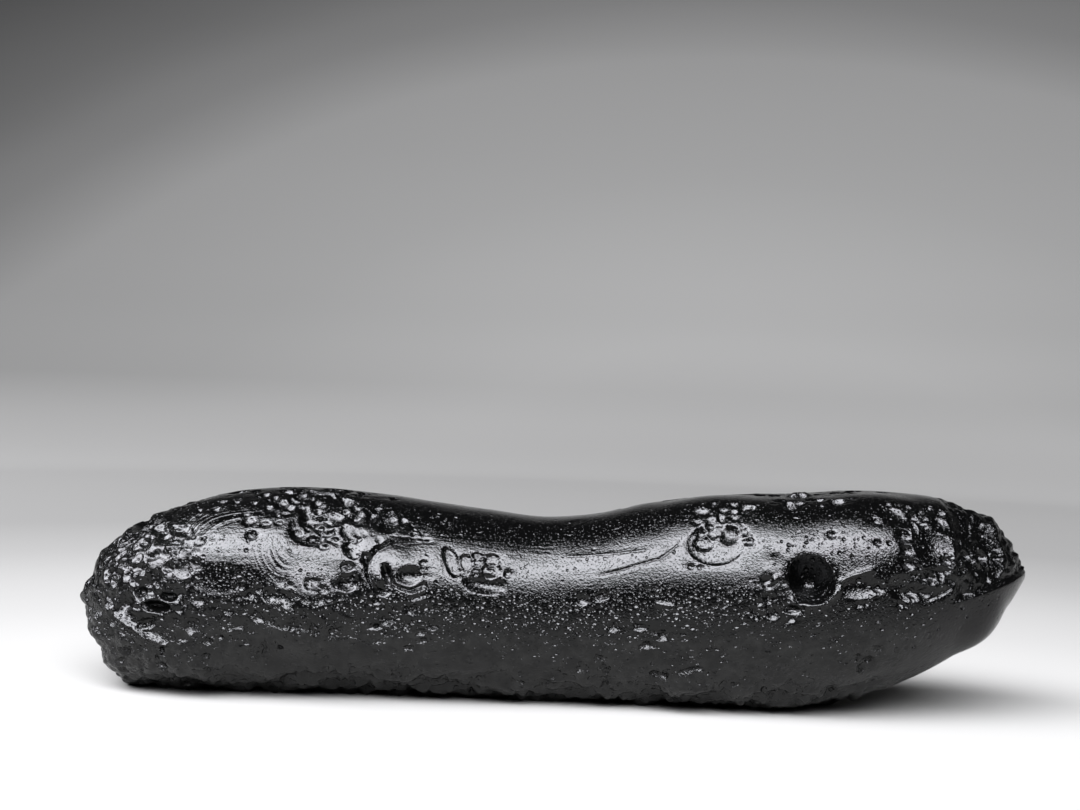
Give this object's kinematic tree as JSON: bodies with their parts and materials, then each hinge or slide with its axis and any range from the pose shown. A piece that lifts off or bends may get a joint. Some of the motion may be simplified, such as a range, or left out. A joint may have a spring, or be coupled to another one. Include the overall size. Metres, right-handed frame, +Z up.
{
  "type": "tektite",
  "caption": "Long splash-form rod of black natural glass, lying on its side, with one blunt rough end, one pointed broken end, bubble pits and a waist.",
  "frame": {"origin": "on the surface it rests on, under the middle of the box round the whole stone", "axes": "+X along the rod from its blunt rough end to its pointed broken end, +Y from the front face to the back, +Z up from the flats it lies on"},
  "size_m": [0.0996, 0.024, 0.0228],
  "materials": {
    "tektite_glass": "opaque black natural glass, satin on the smooth skin, with sharp-edged bubble pits and rough broken ends"
  },
  "bodies": {
    "root": {"tektite": "tektite_glass"}
  },
  "joints": []
}
